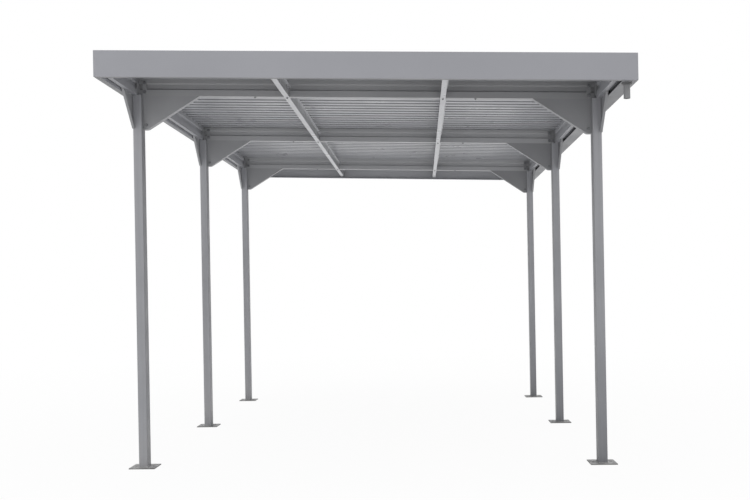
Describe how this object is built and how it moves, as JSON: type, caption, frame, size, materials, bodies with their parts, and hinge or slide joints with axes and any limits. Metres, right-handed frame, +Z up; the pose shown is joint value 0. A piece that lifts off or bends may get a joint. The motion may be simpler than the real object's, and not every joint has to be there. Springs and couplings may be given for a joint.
{
  "type": "carport",
  "caption": "Open flat-roof steel carport: slim posts on foot plates, gusseted beams, ribbed roof sheets, plain fascias and a side gutter with a short outlet.",
  "frame": {"origin": "on the ground under the middle of the roof", "axes": "+X to the right seen from the front, towards the gutter; +Y to the rear; +Z up"},
  "size_m": [3.0125, 5, 2.4391],
  "materials": {
    "post_paint": "powder coat, satin",
    "foot_paint": "powder coat, satin",
    "gusset_paint": "powder coat, satin",
    "beam_paint": "powder coat, satin",
    "purlin_paint": "powder coat, satin",
    "roof_coating": "coated, satin",
    "fascia_paint": "powder coat, satin",
    "outlet_paint": "powder coat, satin"
  },
  "bodies": {
    "root": {"front_left_foot": "foot_paint", "middle_left_foot": "foot_paint", "rear_left_foot": "foot_paint", "front_right_foot": "foot_paint", "middle_right_foot": "foot_paint", "rear_right_foot": "foot_paint", "front_left_post": "post_paint", "middle_left_post": "post_paint", "rear_left_post": "post_paint", "front_right_post": "post_paint", "middle_right_post": "post_paint", "rear_right_post": "post_paint", "front_left_side_gusset": "gusset_paint", "middle_left_side_gusset": "gusset_paint", "rear_left_side_gusset": "gusset_paint", "front_right_side_gusset": "gusset_paint", "middle_right_side_gusset": "gusset_paint", "rear_right_side_gusset": "gusset_paint", "front_left_knee": "gusset_paint", "middle_left_knee": "gusset_paint", "rear_left_knee": "gusset_paint", "front_right_knee": "gusset_paint", "middle_right_knee": "gusset_paint", "rear_right_knee": "gusset_paint", "front_cross_beam": "beam_paint", "middle_cross_beam": "beam_paint", "rear_cross_beam": "beam_paint", "left_side_beam": "beam_paint", "right_side_beam": "beam_paint", "beam_end_clips": "gusset_paint", "left_purlin": "purlin_paint", "right_purlin": "purlin_paint", "roof_sheet_1": "roof_coating", "roof_sheet_2": "roof_coating", "roof_sheet_3": "roof_coating", "roof_sheet_4": "roof_coating", "roof_sheet_5": "roof_coating", "front_fascia": "fascia_paint", "rear_fascia": "fascia_paint", "left_fascia": "fascia_paint", "right_fascia": "fascia_paint", "right_cap": "fascia_paint", "right_soffit": "fascia_paint", "gutter_floor": "fascia_paint", "gutter_wall": "fascia_paint", "gutter_outlet": "outlet_paint"}
  },
  "joints": []
}
